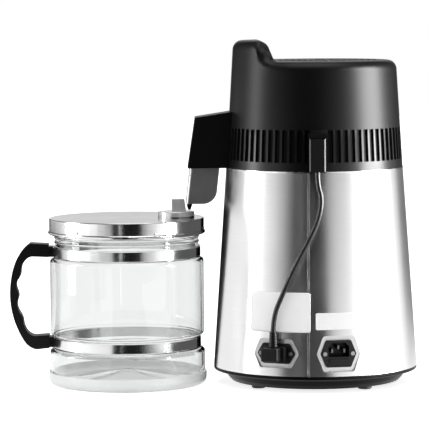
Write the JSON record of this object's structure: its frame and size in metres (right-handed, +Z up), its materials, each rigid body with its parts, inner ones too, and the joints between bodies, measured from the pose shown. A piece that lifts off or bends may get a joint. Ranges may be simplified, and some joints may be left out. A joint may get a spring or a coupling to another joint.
{
  "type": "countertop water distiller",
  "caption": "Countertop water distiller: tapered steel boiler with a slotted black fan head and spout, beside a handled glass jar with a steel lid that catches the drip.",
  "frame": {"origin": "on the surface that the part stands on, in the middle of the boiler and jar together", "axes": "+Z up, +X from the jar towards the boiler, -Y out of the boiler's sockets"},
  "size_m": [0.4712, 0.2433, 0.3965],
  "materials": {
    "casing_steel": "fine brushed round the boiler",
    "bright_steel": "bright satin sheet steel",
    "fasteners": "bright plated",
    "black_plastic": "satin moulded",
    "socket_plastic": "satin moulded",
    "cord_sheath": "smooth flexible sheath",
    "black_rubber": "matt",
    "seal_rubber": "soft silicone",
    "heater_metal": "cast and turned",
    "element_sheath": "oxidised sheath",
    "inner_plastic": "natural moulded",
    "dark_works": "moulded",
    "shaft_steel": "ground",
    "button_red": "gloss moulded",
    "fuse_body": "glazed with bright caps",
    "sachet_cloth": "filter cloth",
    "clear_glass": "clear moulded glass",
    "milky_plastic": "milky moulded",
    "black_metal": "blackened steel bolts and woven mesh"
  },
  "bodies": {
    "boiler": {"outer_casing": "casing_steel", "base_pan": "black_plastic", "rubber_feet": "black_rubber", "base_posts": "heater_metal", "base_screws": "fasteners", "boiler_pot": "bright_steel", "heater_plate": "heater_metal", "heating_element": "element_sheath", "thermostats": "inner_plastic", "mains_inlet": "socket_plastic", "mains_inlet_pins": "fasteners", "fan_outlet": "socket_plastic", "socket_screws": "fasteners", "button_bezel": "black_plastic", "reset_switch": "dark_works", "head_plug": "socket_plastic", "fan_cord": "cord_sheath", "angle_plug": "socket_plastic", "plug_relief": "socket_plastic"},
    "head": {"vent_ring": "black_plastic", "head_dome": "black_plastic", "top_grille": "black_plastic", "fan_bracket": "heater_metal", "fan_motor": "dark_works", "inner_lid": "bright_steel", "steam_gasket": "seal_rubber", "head_screws": "fasteners", "condenser_coil": "bright_steel", "coil_rests": "inner_plastic", "spout_box": "black_plastic", "spout_chute": "bright_steel", "drip_nozzle": "black_plastic", "filter_cup": "inner_plastic", "carbon_sachet": "sachet_cloth", "head_socket": "black_plastic", "head_socket_pins": "fasteners", "vent_screen": "black_metal"},
    "fan": {"fan_shaft": "shaft_steel", "fan_blades": "inner_plastic"},
    "fuse_drawer": {"fuse_drawer": "socket_plastic", "fuse": "fuse_body"},
    "reset_button": {"reset_button": "button_red"},
    "jar": {"glass_jar": "clear_glass", "jar_base_cup": "milky_plastic", "lower_band": "bright_steel", "upper_band": "bright_steel", "handle_brackets": "black_plastic", "bracket_bolts": "black_metal", "jar_handle": "black_plastic"},
    "jar_lid": {"jar_lid": "bright_steel", "lid_gasket": "seal_rubber", "inlet_seat": "bright_steel"},
    "inlet_cap": {"inlet_cap": "bright_steel"}
  },
  "joints": [
    {"name": "head_lift", "type": "slide", "parent": "boiler", "child": "head", "axis": [0, 0, 1], "range_m": [0, 0.16]},
    {"name": "fan_spin", "type": "hinge", "parent": "head", "child": "fan", "pos_m": [0.11775, 0, 0.34], "axis": [0, 0, 1], "continuous": true},
    {"name": "fuse_drawer_slide", "type": "slide", "parent": "boiler", "child": "fuse_drawer", "axis": [0.1805, -0.9836, 0], "range_m": [0, 0.014]},
    {"name": "reset_press", "type": "slide", "parent": "boiler", "child": "reset_button", "axis": [-0.1219, -0.9925, 0], "range_m": [0, 0.003], "stiffness_N_per_m": 500},
    {"name": "jar_slide", "type": "slide", "parent": "boiler", "child": "jar", "axis": [-1, 0, 0], "range_m": [0, 0.15]},
    {"name": "lid_turn", "type": "hinge", "parent": "jar", "child": "jar_lid", "pos_m": [-0.10025, 0, 0.19], "axis": [0, 0, 1], "continuous": true},
    {"name": "inlet_turn", "type": "hinge", "parent": "jar_lid", "child": "inlet_cap", "pos_m": [-0.04265, 0, 0.195], "axis": [0, 0, 1], "range_deg": [0, 90]}
  ]
}
